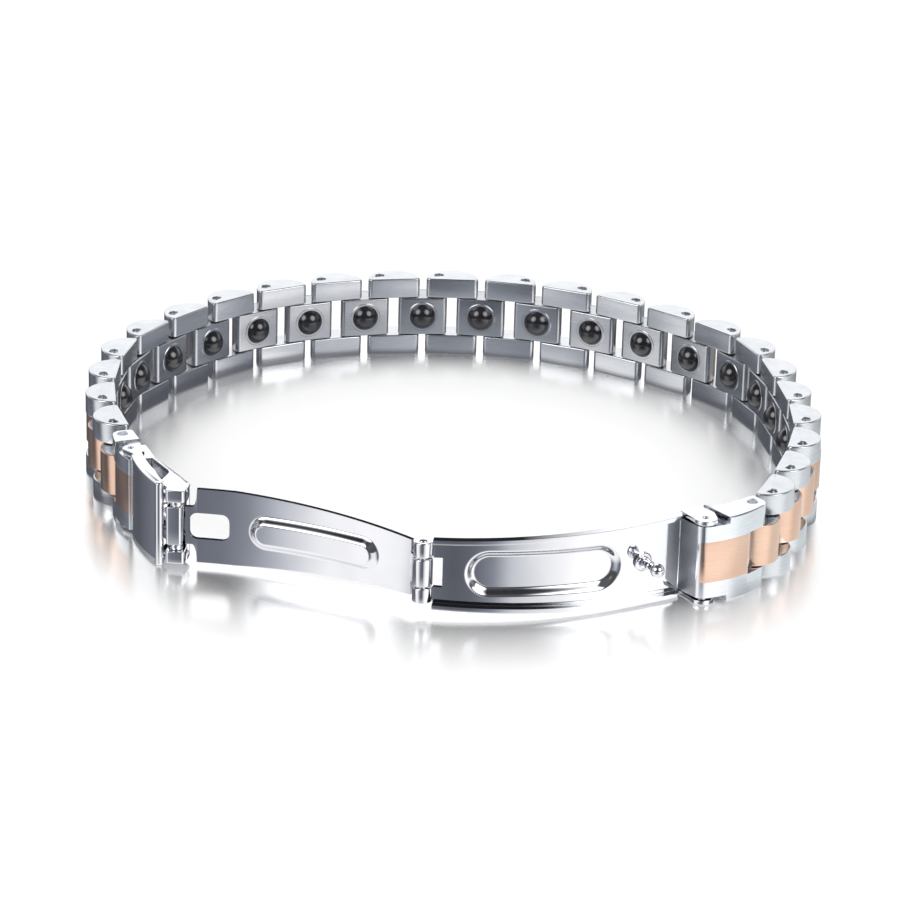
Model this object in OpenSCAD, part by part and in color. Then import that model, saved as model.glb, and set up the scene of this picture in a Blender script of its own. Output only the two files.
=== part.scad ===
// Magnetic bracelet: a chain of three-row links with a magnet in every centre link, and a
// fold-over clasp opened out between its two ends. It stands on its edge. Millimetres, +Z up,
// with the origin under the middle of the whole. Every piece is drawn in a plan of its own, in
// which +X runs clockwise round the loop, seen from above, and +Y points out of the loop.

/* [Band] */
// Width of the band, which is its height as it stands on its edge
band_w = 10; // [9.5:0.5:14]
// Height of the outer rails of a link, above and below its centre link
rail_h = 2.5; // [2:0.1:2.8]
// Number of outer links between the two end links
links = 23; // [19:1:23]
// Distance from one link to the next along the chain
link_pitch = 7.5; // [7.3:0.1:8.5]
// Length of an outer link
link_len = 6.5; // [5.8:0.1:6.7]
// Length of a centre link
centre_len = 6.1; // [5.8:0.1:6.4]
// Thickness of a link from its flat inner face to the crown of its outer face
link_t = 3.5; // [3.2:0.1:4.2]
// Height of the straight sides under the crown
side_h = 0.5; // [0.3:0.1:0.9]
// Depth of the link pins behind the inner face
pin_depth = 1.5; // [1.4:0.1:1.8]
// Distance between the two pins of an outer link
pin_span = 3.4; // [3:0.1:3.8]
// Diameter of the link pins
pin_d = 1; // [0.8:0.05:1.1]
// Diameter of the open end of a link pin's hole
hole_d = 1.2; // [1.1:0.05:1.4]
// Depth of that open end, down to the end of the pin
hole_depth = 0.5; // [0.3:0.1:1]
// Clearance between pieces that turn on or sit in each other
fit = 0.05; // [0.04:0.01:0.08]

/* [Magnets] */
// Diameter of a magnet
magnet_d = 3.2; // [2.6:0.1:3.4]
// Depth of its seat below the inner face of the centre link
seat_depth = 0.7; // [0.4:0.05:0.8]
// Height of its dome above that face
dome_h = 1.1; // [0.6:0.1:1.3]
// Width of the polished step round the seat
rim_w = 0.3; // [0.2:0.05:0.4]
// Depth of that step
rim_depth = 0.12; // [0.05:0.01:0.2]

/* [End links] */
// Distance between the pins of the left end link
left_span = 4.2; // [4.1:0.1:7]
// Distance between the pins of the right end link
right_span = 7.1; // [6.4:0.1:9]
// Length of the left end link beyond its chain pin
left_over = 1.15; // [1.1:0.05:1.55]
// Length of the right end link beyond its chain pin
right_over = 1.5; // [1.2:0.05:1.55]
// Radius of the rounded nose that carries the clasp pin
nose_r = 1.1; // [1:0.05:1.2]
// Radius of the long outer curve of an end link
end_crown_r = 13; // [10:1:20]
// Distance of the clasp pin outwards from the line of the link pins
end_pin_out = 0.2; // [0:0.1:0.6]
// Thickness of an end link inwards from that line at its clasp end
heel_depth = 2.1; // [1.8:0.1:2.2]
// Depth of the slot for the centre link beyond the chain pin
slot_reach = 1.9; // [1.85:0.05:2.2]
// Length of the recess for an ear or a side wall of the clasp, from the pin's nose inwards
recess_len = 1.3; // [1.25:0.05:1.6]
// Length of the slope down to the heel
heel_slope = 1.2; // [0.6:0.1:1.5]

/* [Clasp sheets] */
// Thickness of the sheet of the blades, the cover and the catch frame
sheet_t = 0.5; // [0.4:0.05:0.6]
// Diameter of the clasp pins
clasp_pin_d = 1; // [0.8:0.05:1.1]
// Angle by which the two blades turn from each other as they stand
fold_turn = 31; // [20:1:40]
// Angle by which the catch turns from the short blade
catch_turn = 37.5; // [30:0.5:45]
// Radius of the cover's ears round the pin of its end link
ear_r = 0.95; // [0.9:0.05:1]
// Radius of the long blade's ears round the pin of its own
long_ear_r = 1.15; // [1:0.05:1.2]
// Clearance between the sheets and the band's edges, and between pieces that lie side by side
edge_gap = 0.05; // [0.04:0.01:0.1]

/* [Long blade] */
// Distance of its edges from the band's edges at the fold
long_inset = 0.95; // [0.8:0.05:1.2]
// Radius to which the long blade is bent
long_bow_r = 39.5; // [34:0.5:48]
// Depth of its end behind the pin of the end link
long_drop = 3.4; // [3.3:0.1:3.8]
// Height of the lips along its two edges
lip_h = 1.1; // [0.6:0.1:1.4]
// Distance from the end link pin to the near ends of the lips
lip_from = 2.3; // [2.2:0.1:2.8]
// Distance from the end link pin to the stud
stud_at = 6.9; // [6.2:0.1:7]

/* [Short blade] */
// Distance between the pins of the short blade
short_span = 29.5; // [28:0.1:31]
// Distance of the catch pin from the right end link's pin when the two blades are folded together
folded_offset = 1.6; // [1:0.1:2.4]
// Distance of its edges from the band's edges at the fold
short_inset = 1.75; // [1.5:0.05:2]
// The same distance at its widest place and from there to the neck
wide_inset = 0.6; // [0.55:0.05:0.9]
// Share of its length at which it is widest
short_wide_at = 0.78; // [0.7:0.01:0.85]
// Radius to which the short blade is bent
short_bow_r = 47; // [42:1:60]
// Height of its neck at the catch
neck_h = 4.5; // [4.2:0.1:4.8]
// Length of the neck from the catch pin to the shoulders
neck_len = 2.3; // [2.1:0.1:2.6]
// Length of the window that the stud goes through
window_len = 4.8; // [4.5:0.1:5]
// Height of the window
window_h = 3.1; // [2.7:0.1:3.3]
// Distance from the catch pin to the near end of the window
window_at = 1.6; // [1.5:0.1:2]

/* [Stamped channels] */
// Length of the channel stamped into the long blade
long_channel_len = 15.9; // [14:0.1:16.4]
// Height of that channel
long_channel_h = 3.9; // [3.4:0.1:4.4]
// Distance from the end link pin to its middle
long_channel_at = 18; // [17.5:0.1:18.5]
// Length of the channel stamped into the short blade
short_channel_len = 14.8; // [13:0.1:15.4]
// Height of that channel
short_channel_h = 3; // [2.6:0.1:3.3]
// Distance from the fold to its middle
short_channel_at = 13.5; // [13:0.1:14]
// Depth of both channels
channel_depth = 0.7; // [0.55:0.05:0.9]

/* [Hinges] */
// Radius of the barrel at the fold
barrel_r = 1.1; // [1:0.05:1.15]
// Height of the short blade's knuckle at the fold
fold_mid_h = 3.3; // [3:0.1:3.6]
// Clearance between the fold's barrel and the full height of the short blade
fold_clear = 0.35; // [0.2:0.05:0.6]
// Depth of the cut in the long blade for that knuckle, from the barrel
knuckle_way = 1; // [0.5:0.1:1.4]
// Height of each of the long blade's two knuckles there
fold_outer_h = 1.8; // [1.6:0.1:2]
// Radius of each round head of the fold pin
pin_head_r = 0.6; // [0.55:0.05:0.7]
// Width of the squared knuckles at the catch
knuckle_w = 2.2; // [2:0.05:2.3]
// Height of each of the catch frame's two knuckles
catch_outer_h = 1.4; // [1.2:0.1:1.6]

/* [Catch] */
// Distance from the catch pin to the pin of the left end link
cover_span = 11.3; // [11:0.1:13]
// Radius to which the cover is bent
cover_bow_r = 26; // [22:1:40]
// Distance of the cover's rolled edge from the catch pin, along the cover
cover_from = 1.05; // [0.9:0.05:1.3]
// Distance of that edge outwards from the catch pin
cover_out = 1.6; // [1.55:0.05:1.8]
// Distance of the cover outwards from the end link's pin where it ends
cover_tail_out = 0.5; // [0.3:0.1:0.7]
// Clearance between the cover's end and the nose of the end link
cover_clear = 0.25; // [0.2:0.05:0.5]
// Depth of the side walls of the cover
cover_wall = 1.3; // [1:0.1:1.4]
// Radius of the rolled edge of the cover
roll_r = 0.5; // [0.4:0.05:0.55]
// Depth of the catch frame behind the catch pin
frame_depth = 2; // [1.9:0.05:2.2]
// Distance of the catch frame's near edge from the catch pin
frame_from = 0.6; // [0.5:0.05:0.7]
// Clearance between the catch frame's far edge and the nose of the end link
frame_clear = 1.2; // [0.8:0.1:1.6]
// Height of the catch frame's cheeks above the line of the pins at the hinge
cheek_out = 0.9; // [0.7:0.05:1]
// Distance from the catch pin at which the cheeks start to slope down
cheek_len = 2.4; // [2:0.1:3]
// Diameter of the hole in the catch frame that grips the stud
grip_d = 1.6; // [1.3:0.1:1.7]
// Length of the slits beside that hole
slit_len = 4; // [3:0.1:4.4]
// Width of the slits
slit_w = 0.4; // [0.3:0.05:0.5]

/* [Stud] */
// Diameter of the foot of the stud
stud_foot_d = 2.6; // [2.2:0.1:2.8]
// Diameter of its neck
stud_neck_d = 0.95; // [0.8:0.05:1]
// Diameter of its round head
stud_head_d = 1.8; // [1.5:0.1:1.9]
// Height of the middle of the head above the middle of the blade's sheet
stud_reach = 2.6; // [2.4:0.1:3]
// Height of each step of the foot, and of the ring on the neck
stud_step = 0.3; // [0.2:0.05:0.35]
// Diameter of the ring on the neck
stud_ring_d = 1.3; // [1.2:0.05:1.5]

/* [Stand] */
// Direction of the line from the left end link's pin to the right one's
lay_turn = -13.5; // [-90:0.5:90]

/* [Hidden] */
$fn = 96;
// Turn of each link from the one before, in whole degrees chosen by hand, from the left end link
// round to the right one. All are then scaled together until the loop closes on the clasp.
turn_of_joint = [3, 11, 8, 10, 18, 9, 9, 14, 11, 9, 9, 10, 11, 10, 7, 8, 20, 13, 2, 7, 12, 5, 5, 30];
closing_steps = 30;
joints = links + 1;
centre_span = link_pitch - pin_span;
long_span = short_span + folded_offset;
gap = 0.1;
centre_h = band_w - 2 * rail_h - 2 * gap;
mid_z = band_w / 2;
through = 40;
fine = 360;
samples = 24;
steel = [0.76, 0.77, 0.79];
rose_gold = [0.87, 0.62, 0.49];
black = [0.07, 0.07, 0.09];

function two(n) = n < 10 ? str("0", n) : str(n);
function outer_name(k) = str("outer_link_", two(k));
function centre_name(k) = str("centre_link_", two(k));

// Plan geometry

function dir(a) = [cos(a), sin(a)];
function turned(a, p) = [p.x * cos(a) - p.y * sin(a), p.x * sin(a) + p.y * cos(a)];
function heading(p) = atan2(p.y, p.x);
// Centre, on the inner side, of the arc of radius r from a to b
function arc_centre(a, b, r) =
    (a + b) / 2 + sqrt(r * r - pow(norm(b - a) / 2, 2)) * turned(-90, (b - a) / norm(b - a));
// Height of the arc of radius r round c above the point x
function arc_y(c, r, x) = c.y + sqrt(r * r - pow(x - c.x, 2));
// Slope of that arc there, in degrees
function arc_slope(c, r, x) = -asin((x - c.x) / r);
// Radius of a crown over a chord of the length len, with its sides side_h high
function crown_r(len) = (pow(len / 2, 2) + pow(link_t - side_h, 2)) / (2 * (link_t - side_h));

// Closing the loop: the chain is laid from the left end link's chain pin

function turn_sum(k) = k < 1 ? 0 : turn_sum(k - 1) + turn_of_joint[(k - 1) % len(turn_of_joint)];
turn_to = [for (k = [0:joints]) turn_sum(k)];
function link_dir(k, s) = -s * turn_to[k];
function centre_dir(k, s) = (link_dir(k - 1, s) + link_dir(k, s)) / 2;
function last_pin(k, s) = k < 1 ? [0, 0] : first_pin(k, s) + pin_span * dir(link_dir(k, s));
function first_pin(k, s) = last_pin(k - 1, s) + centre_span * dir(centre_dir(k, s));
function right_pin(s) =
    first_pin(joints, s) + turned(link_dir(joints, s), [right_span, end_pin_out]);
left_pin = [-left_span, end_pin_out];

// The clasp is laid from the right end link's pin over the fold and the catch pin
fold_at = [long_span, 0];
catch_at = fold_at + short_span * dir(-fold_turn);
clasp_end = catch_at + cover_span * dir(-fold_turn - catch_turn);

// Share of the turns at which the chain's two ends are as far apart as the clasp's
function closing(lo, hi, n) =
    n < 1 ? (lo + hi) / 2
    : norm(right_pin((lo + hi) / 2) - left_pin) > norm(clasp_end)
        ? closing((lo + hi) / 2, hi, n - 1)
        : closing(lo, (lo + hi) / 2, n - 1);
turn_scale = closing(0.3, 1.5, closing_steps);
right_at = right_pin(turn_scale);
clasp_turn = heading(left_pin - right_at) - heading(clasp_end);
loop_turn = lay_turn - heading(right_at - left_pin);

// Bows of the sheets, in the plans of their own pieces
long_c = arc_centre([0, -long_drop], [long_span, 0], long_bow_r);
short_c = [short_span / 2, sqrt(pow(short_bow_r, 2) - pow(short_span / 2, 2))];
cover_ends = [[cover_from, cover_out], [cover_span - nose_r - cover_clear, cover_tail_out]];
cover_c = arc_centre(cover_ends[0], cover_ends[1], cover_bow_r);

// Outermost points of the loop, for the middle of the whole
// Points of an arc of radius r round the origin, within a degrees of +Y
function arc_points(r, a) = [for (i = [-samples:samples]) r * dir(90 + a * i / samples)];
function crown_points(len, x) =
    [for (p = arc_points(crown_r(len), 30)) [x, link_t - pin_depth - crown_r(len)] + p];
function in_clasp(p) = right_at + turned(clasp_turn, p);
function in_catch(p) = in_clasp(catch_at + turned(-fold_turn - catch_turn, p));
link_rim = [for (k = [1:links]) for (p = crown_points(link_len, pin_span / 2))
    first_pin(k, turn_scale) + turned(link_dir(k, turn_scale), p)];
blade_rim = [for (p = arc_points(long_bow_r + sheet_t / 2 + lip_h, 20)) in_clasp(long_c + p)];
cover_rim = [for (p = arc_points(cover_bow_r + sheet_t / 2, 10)) in_catch(cover_c + p)];
rim = [for (p = concat(link_rim, blade_rim, cover_rim)) turned(loop_turn, p)];
function middle(v, i) = (min([for (p = v) p[i]]) + max([for (p = v) p[i]])) / 2;

module loop_plan() translate([-middle(rim, 0), -middle(rim, 1), 0]) rotate(loop_turn) children();
module on_link(k)
    loop_plan() translate(first_pin(k, turn_scale)) rotate(link_dir(k, turn_scale)) children();
module on_centre(k)
    loop_plan() translate(last_pin(k - 1, turn_scale)) rotate(centre_dir(k, turn_scale)) children();
module on_clasp() loop_plan() translate(right_at) rotate(clasp_turn) children();
module on_short() on_clasp() translate(fold_at) rotate(-fold_turn) children();
module on_catch() on_clasp() translate(catch_at) rotate(-fold_turn - catch_turn) children();

// Common forms

module slab(z, h) translate([0, 0, z]) linear_extrude(h) children();

// A form and the same form turned over about the middle of the band
module both_edges() {
    children();
    translate([0, 0, band_w]) mirror([0, 0, 1]) children();
}

// Outline with a flat inner face and a round outer one, about the middle of its two pins
module d_outline(len, x) intersection() {
    translate([x - len / 2, -pin_depth]) square([len, link_t]);
    translate([x, link_t - pin_depth - crown_r(len)]) circle(crown_r(len));
}

// Sheet bent round c, from r0 to r1 from it and from x0 to x1 along the piece
module bow_outline(c, r0, r1, x0, x1) intersection() {
    difference() {
        translate(c) circle(r1, $fn = fine);
        translate(c) circle(r0, $fn = fine);
    }
    translate([x0, -through / 4]) square([x1 - x0, through / 2]);
}

// Side view, length along X and height along Z, cut right through the piece
module side_view() rotate([90, 0, 0]) linear_extrude(through, center = true) children();

// Slot with round ends, of length len and height h
module racetrack(at, len, h) translate([at, mid_z]) {
    square([len - h, h], center = true);
    for (s = [-1, 1]) translate([s * (len - h) / 2, 0]) circle(h / 2);
}

// Chain

module pin_mouth(x) translate([x, 0, band_w - hole_depth]) cylinder(d = hole_d, h = hole_depth * 2);

module outer_link(k) color(steel) on_link(k) {
    mouth_x = k > links / 2 ? pin_span : 0;
    difference() {
        union() {
            both_edges() slab(0, rail_h) d_outline(link_len, pin_span / 2);
            for (x = [0, pin_span])
                translate([x, 0, rail_h / 2]) cylinder(d = pin_d, h = band_w - rail_h);
        }
        both_edges() pin_mouth(mouth_x);
    }
}

module centre_link(k) color(rose_gold) on_centre(k) difference() {
    slab(rail_h + gap, centre_h) d_outline(centre_len, centre_span / 2);
    for (x = [0, centre_span])
        translate([x, 0, 0]) cylinder(d = pin_d + 2 * fit, h = band_w);
    magnet_axis() {
        cylinder(d = magnet_d + 2 * fit, h = 2 * (seat_depth + fit), center = true);
        cylinder(d = magnet_d + 2 * rim_w, h = 2 * rim_depth, center = true);
    }
}

// Middle of the inner face of a centre link, with +Z into the loop
module magnet_axis()
    translate([centre_span / 2, -pin_depth, mid_z]) rotate([90, 0, 0]) children();

dome_r = (pow(magnet_d / 2, 2) + dome_h * dome_h) / (2 * dome_h);
module magnets() color(black) for (k = [1:joints]) on_centre(k) magnet_axis() intersection() {
    translate([0, 0, -seat_depth]) cylinder(d = magnet_d, h = seat_depth + dome_h + 1);
    translate([0, 0, dome_h - dome_r]) sphere(dome_r);
}

// End link with its chain pin at the origin and its clasp pin at x = span
module end_outline(span, over) {
    crown_c = arc_centre([0, over], [span, end_pin_out + nose_r], end_crown_r);
    intersection() {
        translate(crown_c) circle(end_crown_r, $fn = fine);
        translate([0, -pin_depth]) square([span, 2 * link_t]);
    }
    circle(over);
    translate([-over, -pin_depth]) square([over + span / 2, pin_depth]);
    translate([span, end_pin_out]) circle(nose_r);
    polygon([[span / 2, -pin_depth], [span / 2, 0], [span + nose_r, end_pin_out],
             [span + nose_r, -heel_depth], [span - ear_r - heel_slope, -heel_depth]]);
}

module end_link(span, over) {
    recess_x = span - ear_r - recess_len;
    recess_h = 2 * edge_gap + sheet_t;
    difference() {
        slab(0, band_w) end_outline(span, over);
        translate([-link_t, -link_t, rail_h])
            cube([link_t + slot_reach, 3 * link_t, band_w - 2 * rail_h]);
        both_edges() translate([recess_x, -link_t, -recess_h])
            cube([through, 3 * link_t, 2 * recess_h]);
        translate([span, end_pin_out, 0]) cylinder(d = clasp_pin_d + 2 * fit, h = band_w);
        both_edges() pin_mouth(0);
    }
    translate([0, 0, rail_h / 2]) cylinder(d = pin_d, h = band_w - rail_h);
}

module left_end_link() color(steel) loop_plan() mirror([1, 0, 0]) end_link(left_span, left_over);
module right_end_link() color(steel) on_link(joints) end_link(right_span, right_over);

// Clasp

bore_d = clasp_pin_d + 2 * fit;
// Distance from a hinge pin at which a sheet ends inside the wall of its own knuckle
sheet_end = (barrel_r + bore_d / 2) / 2;
fold_mid_z = mid_z - fold_mid_h / 2;
fold_outer_z = fold_mid_z - gap - fold_outer_h;

// Side view of a sheet whose edges lie a0 from the band's edges at x0, and a1 at x1
module taper(x0, x1, a0, a1)
    polygon([[x0, a0], [x1, a1], [x1, band_w - a1], [x0, band_w - a0]]);

module tube(r, bore, z, h) translate([0, 0, z]) difference() {
    cylinder(r = r, h = h);
    translate([0, 0, -h]) cylinder(d = bore, h = 3 * h);
}

module long_ear() slab(edge_gap, sheet_t) {
    circle(long_ear_r);
    polygon([[long_ear_r, 0], [lip_from, -long_drop * 0.75], [0, -long_drop - sheet_t / 2],
             [-long_ear_r, -long_drop * 0.4], [-long_ear_r, 0]]);
}

module long_side(inset) taper(0, long_span, edge_gap + inset, long_inset + inset);

module long_body() {
    r0 = long_bow_r - sheet_t / 2;
    r1 = long_bow_r + sheet_t / 2;
    // Plate
    intersection() {
        slab(0, band_w) bow_outline(long_c, r0, r1, 0, long_span - sheet_end);
        side_view() long_side(0);
    }
    // Lips
    intersection() {
        slab(0, band_w) bow_outline(long_c, r0, r1 + lip_h, lip_from, long_span - barrel_r - fit);
        side_view() difference() {
            long_side(0);
            long_side(sheet_t);
        }
    }
    // Back of the stamped channel
    intersection() {
        slab(0, band_w) bow_outline(long_c, r0 - channel_depth, r1, 0, long_span);
        side_view()
            racetrack(long_channel_at, long_channel_len + 2 * sheet_t, long_channel_h + 2 * sheet_t);
    }
    both_edges() long_ear();
    translate(fold_at) both_edges() tube(barrel_r, bore_d, fold_outer_z, fold_outer_h);
}

module long_blade() color(steel) on_clasp() difference() {
    long_body();
    // Front of the stamped channel
    intersection() {
        slab(0, band_w) bow_outline(long_c, long_bow_r + sheet_t / 2 - channel_depth,
            long_bow_r + channel_depth, 0, long_span);
        side_view() racetrack(long_channel_at, long_channel_len, long_channel_h);
    }
    // Way for the short blade's knuckle, and the blade's own ends beyond its two knuckles
    side_view() translate([long_span - barrel_r - knuckle_way, fold_mid_z - gap])
        square([4 * barrel_r, fold_mid_h + 2 * gap]);
    both_edges() side_view() translate([long_span - barrel_r - fit, -fold_outer_z])
        square([4 * barrel_r, 2 * fold_outer_z]);
    cylinder(d = bore_d, h = band_w);
    stud_axis() cylinder(d = stud_neck_d + 2 * fit, h = 4 * sheet_t, center = true);
}

// Place of the stud on the outer face of the long blade, with +Z along it
module stud_axis()
    translate([stud_at, arc_y(long_c, long_bow_r, stud_at), mid_z])
        rotate(arc_slope(long_c, long_bow_r, stud_at)) rotate([-90, 0, 0]) children();

module stud() color(steel) on_clasp() stud_axis() {
    foot_z = sheet_t / 2 + fit;
    translate([0, 0, -sheet_t / 2]) cylinder(d = stud_neck_d, h = stud_reach);
    translate([0, 0, foot_z]) {
        cylinder(d = stud_foot_d, h = stud_step);
        cylinder(d = (stud_foot_d + stud_neck_d) / 2, h = 2 * stud_step);
    }
    translate([0, 0, (stud_reach + foot_z) / 2]) cylinder(d = stud_ring_d, h = stud_step);
    translate([0, 0, stud_reach]) sphere(d = stud_head_d);
}

module short_blade() color(steel) on_short() {
    r0 = short_bow_r - sheet_t / 2;
    r1 = short_bow_r + sheet_t / 2;
    shoulder = short_span - neck_len;
    wide_x = short_span * short_wide_at;
    neck_inset = mid_z - neck_h / 2;
    body_x = barrel_r + fold_clear;
    difference() {
        union() {
            intersection() {
                slab(0, band_w)
                    bow_outline(short_c, r0, r1, sheet_end, short_span - (knuckle_w - sheet_t) / 2);
                side_view() {
                    taper(body_x, wide_x, short_inset, wide_inset);
                    taper(wide_x, shoulder, wide_inset, wide_inset);
                    taper(wide_x, short_span, neck_inset, neck_inset);
                    taper(0, 2 * body_x, fold_mid_z, fold_mid_z);
                }
            }
            // Front of the stamped channel, which stands out
            intersection() {
                slab(0, band_w) bow_outline(short_c, r0 - channel_depth, r1, 0, short_span);
                side_view() racetrack(short_channel_at, short_channel_len + 2 * sheet_t,
                    short_channel_h + 2 * sheet_t);
            }
            tube(barrel_r, bore_d, fold_mid_z, fold_mid_h);
            slab(neck_inset, neck_h) translate([short_span, 0]) square(knuckle_w, center = true);
        }
        // Back of the stamped channel
        intersection() {
            slab(0, band_w)
                bow_outline(short_c, r1 - channel_depth, short_bow_r + channel_depth, 0, short_span);
            side_view() racetrack(short_channel_at, short_channel_len, short_channel_h);
        }
        side_view() translate([short_span - window_at - window_len, mid_z - window_h / 2])
            square([window_len, window_h]);
        translate([short_span, 0, 0]) cylinder(d = bore_d, h = band_w);
    }
}

// Cover of the catch: plate, side walls, rolled edge, and ears round the end link's pin
module catch_cover() color(steel) on_catch() {
    r0 = cover_bow_r - sheet_t / 2;
    r1 = cover_bow_r + sheet_t / 2;
    height = band_w - 2 * edge_gap;
    difference() {
        union() {
            slab(edge_gap, height) bow_outline(cover_c, r0, r1, cover_from, cover_ends[1].x);
            slab(edge_gap, height) translate(cover_ends[0]) circle(roll_r);
            both_edges() slab(edge_gap, sheet_t) {
                bow_outline(cover_c, r1 - cover_wall, r1, cover_from + roll_r, cover_span);
                translate([cover_span, 0]) circle(ear_r);
            }
        }
        translate([cover_span, 0, 0]) cylinder(d = bore_d, h = band_w);
    }
}

// Frame of the catch: inner plate with the grip for the stud, two cheeks, and two knuckles
module catch_frame() color(steel) on_catch() {
    frame_z = edge_gap + sheet_t + gap;
    plate_end = cover_span - nose_r - frame_clear;
    plate_y = sheet_t - frame_depth;
    grip_x = stud_at - folded_offset;
    difference() {
        union() {
            slab(frame_z, band_w - 2 * frame_z)
                translate([frame_from, -frame_depth]) square([plate_end - frame_from, sheet_t]);
            both_edges() {
                slab(frame_z, sheet_t) polygon([
                    [-frame_from, -knuckle_w / 2], [frame_from, -frame_depth],
                    [plate_end, -frame_depth], [plate_end, plate_y], [plate_end / 2, plate_y],
                    [cheek_len, cheek_out], [0, cheek_out]]);
                slab(frame_z, catch_outer_h) {
                    square(knuckle_w, center = true);
                    translate([frame_from, -frame_depth]) square([sheet_t, frame_depth]);
                }
            }
        }
        cylinder(d = bore_d, h = band_w);
        translate([grip_x, 0, mid_z]) rotate([90, 0, 0]) cylinder(d = grip_d, h = through);
        // Slits that let the two sides of the grip spring
        both_edges() side_view() translate([grip_x - slit_len / 2, mid_z - grip_d / 2 - 2 * slit_w])
            square([slit_len, slit_w]);
    }
}

// Clasp pins

module straight_pin(z) translate([0, 0, z]) cylinder(d = clasp_pin_d, h = band_w - 2 * z);

module left_end_pin() color(steel) on_catch() translate([cover_span, 0]) straight_pin(edge_gap);
module right_end_pin() color(steel) on_clasp() straight_pin(edge_gap);
module catch_pin() color(steel) on_catch() straight_pin(edge_gap + sheet_t + gap);

module fold_pin() color(steel) on_clasp() translate(fold_at) {
    head_z = fold_outer_z - fit;
    straight_pin(head_z);
    both_edges() translate([0, 0, head_z]) intersection() {
        sphere(pin_head_r);
        translate([0, 0, -pin_head_r]) cube(2 * pin_head_r, center = true);
    }
}

for (k = [1:links]) outer_link(k);
for (k = [1:joints]) centre_link(k);
magnets();
left_end_link();
right_end_link();
long_blade();
short_blade();
stud();
catch_cover();
catch_frame();
left_end_pin();
right_end_pin();
fold_pin();
catch_pin();
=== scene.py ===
import bpy
import numpy as np
from mathutils import Matrix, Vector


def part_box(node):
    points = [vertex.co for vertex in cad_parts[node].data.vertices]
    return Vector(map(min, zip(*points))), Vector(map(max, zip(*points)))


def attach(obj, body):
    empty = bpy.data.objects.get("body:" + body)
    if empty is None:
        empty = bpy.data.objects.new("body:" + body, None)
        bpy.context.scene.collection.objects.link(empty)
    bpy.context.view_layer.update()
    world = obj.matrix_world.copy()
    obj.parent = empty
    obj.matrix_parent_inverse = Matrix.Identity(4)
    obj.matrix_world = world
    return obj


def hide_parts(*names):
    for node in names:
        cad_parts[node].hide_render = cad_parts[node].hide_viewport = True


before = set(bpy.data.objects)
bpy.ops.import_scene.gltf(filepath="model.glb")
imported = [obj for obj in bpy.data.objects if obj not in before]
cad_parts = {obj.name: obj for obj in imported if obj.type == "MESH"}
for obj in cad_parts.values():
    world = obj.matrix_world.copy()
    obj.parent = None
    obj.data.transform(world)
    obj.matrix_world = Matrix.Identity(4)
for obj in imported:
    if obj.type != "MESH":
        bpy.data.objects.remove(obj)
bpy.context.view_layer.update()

# Outer links
# Each is an upper and a lower block of brushed stainless steel, flat inside and half-round outside,
# joined by two pins pressed through both. The pin nearer the clasp can be driven out again, so its end
# lies low in an open hole.

MM = 0.001
BAND_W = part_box("outer_link_01")[1][2] / MM
RAIL_H = 2.5
LINK_LEN = 6.5
LINK_T = 3.5
PIN_DEPTH = 1.5
PIN_SPAN = 3.4
PIN_R = 0.5
MOUTH_R = 0.6
MOUTH_DEPTH = 0.5
MOUTH_CHAMFER = 0.07
UNDER_PIN = 0.1
UPRIGHT_EDGE = 0.5
FLAT_EDGE = 0.16
CORNER_STEPS = 7
LINK_CORNER_STEPS = 9
LINK_ARC_STEPS = 44
HOLD = 0.02
TINY = 0.02
FAR = 20
UPRIGHT_WITHIN = 0.01
FLAT_WITHIN = 0.01
SAME_WAY = 0.99999
SMOOTH_BELOW = 38
UP = np.array([0.0, 0.0, 1.0])
STEEL_DARK = (0.56, 0.58, 0.61)
STEEL_LIGHT = (0.70, 0.72, 0.75)
STEEL_GRAIN = (500, 500, 16000)
STREAK_DEPTH = 0.00003


def arc(middle, radius, start, stop, steps):
    """Points of an arc, each with the direction out of the form there.

    Both come from the angle in degrees. A negative radius makes a hollow arc, whose directions point
    to its middle.
    """
    turn = np.radians(np.linspace(start, stop, steps))
    way = np.stack([np.cos(turn), np.sin(turn)], -1)
    return np.stack([np.asarray(middle) + abs(radius) * way, np.sign(radius) * way], 1)


def rounded(corners, radii, steps=CORNER_STEPS):
    """Outline through corners given anticlockwise, each rounded to its radius.

    The arc's middle lies on the line that halves the corner, at the radius from both sides; at an
    inward corner it lies outside the form.
    """
    corners = np.asarray(corners, float)
    ahead = np.roll(corners, -1, 0) - corners
    ahead /= np.linalg.norm(ahead, axis=1)[:, None]
    out = np.stack([ahead[:, 1], -ahead[:, 0]], -1)
    stretches = []
    for corner, before, after, radius in zip(corners, np.roll(out, 1, 0), out, radii):
        side = np.sign(before[0] * after[1] - before[1] * after[0])
        middle = corner - side * radius * (before + after) / (1 + before @ after)
        first = np.arctan2(before[1], before[0])
        turn = np.arccos(np.clip(before @ after, -1, 1)) * side
        angle = np.linspace(first, first + turn, steps)
        way = np.stack([np.cos(angle), np.sin(angle)], -1)
        stretches.append(np.stack([middle + side * radius * way, way], 1))
    return np.concatenate(stretches)


def bar_rings(outline, low, high, edge, steps=5):
    """Rings of an upright bar with rounded edges, from its lower face to its upper one.

    Each ring is the outline moved inwards, by a quarter circle at both ends. The first and last ring
    lie a little further in, so that the flat faces stay flat in the light.
    """
    turn = np.radians(np.linspace(0, 90, steps))
    falling = edge * (1 - np.sin(turn))
    rising = edge * (1 - np.cos(turn))
    inset = np.concatenate([[edge + HOLD], falling, rising, [edge + HOLD]])
    height = np.concatenate([[low], low + rising, high - falling, [high]])
    flat = outline[None, :, 0] - inset[:, None, None] * outline[None, :, 1]
    tall = np.broadcast_to(height[:, None, None], flat.shape[:2] + (1,))
    return np.concatenate([flat, tall], -1)


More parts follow.
